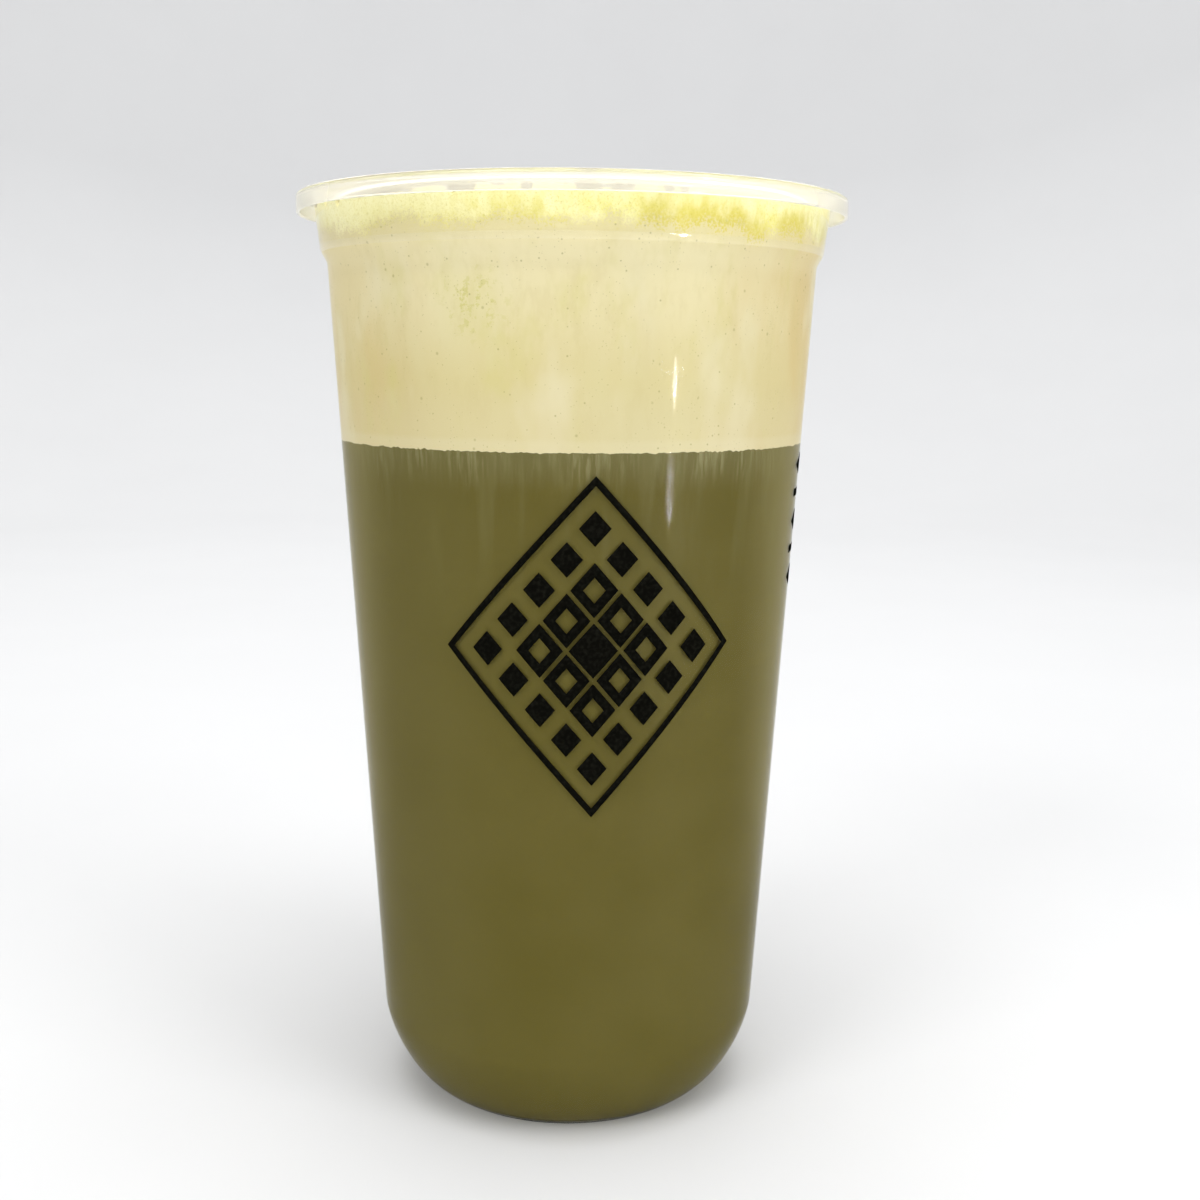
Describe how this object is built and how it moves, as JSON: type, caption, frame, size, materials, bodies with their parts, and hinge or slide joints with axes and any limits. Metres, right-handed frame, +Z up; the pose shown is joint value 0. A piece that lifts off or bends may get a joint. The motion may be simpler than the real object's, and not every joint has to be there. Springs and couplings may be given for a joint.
{
  "type": "matcha latte in a clear plastic cup",
  "caption": "Matcha latte in a clear tapered plastic takeaway cup with no lid: green tea below, milk foam above it, matcha powder dusted over the foam, flat rim with a turned-down lip.",
  "frame": {"origin": "centre of the cup's foot ring, on the surface it stands on", "axes": "+Z up along the cup's axis, -Y the side that the picture shows, +X to its right"},
  "size_m": [0.095, 0.095, 0.1592],
  "materials": {
    "clear_plastic": "clear, glossy injection-moulded plastic",
    "green_tea": "opaque milky liquid",
    "cream_foam": "soft foam",
    "matcha_powder": "fine damp powder"
  },
  "bodies": {
    "root": {"cup": "clear_plastic", "matcha_tea": "green_tea", "milk_foam": "cream_foam", "matcha_dusting": "matcha_powder"}
  },
  "joints": []
}
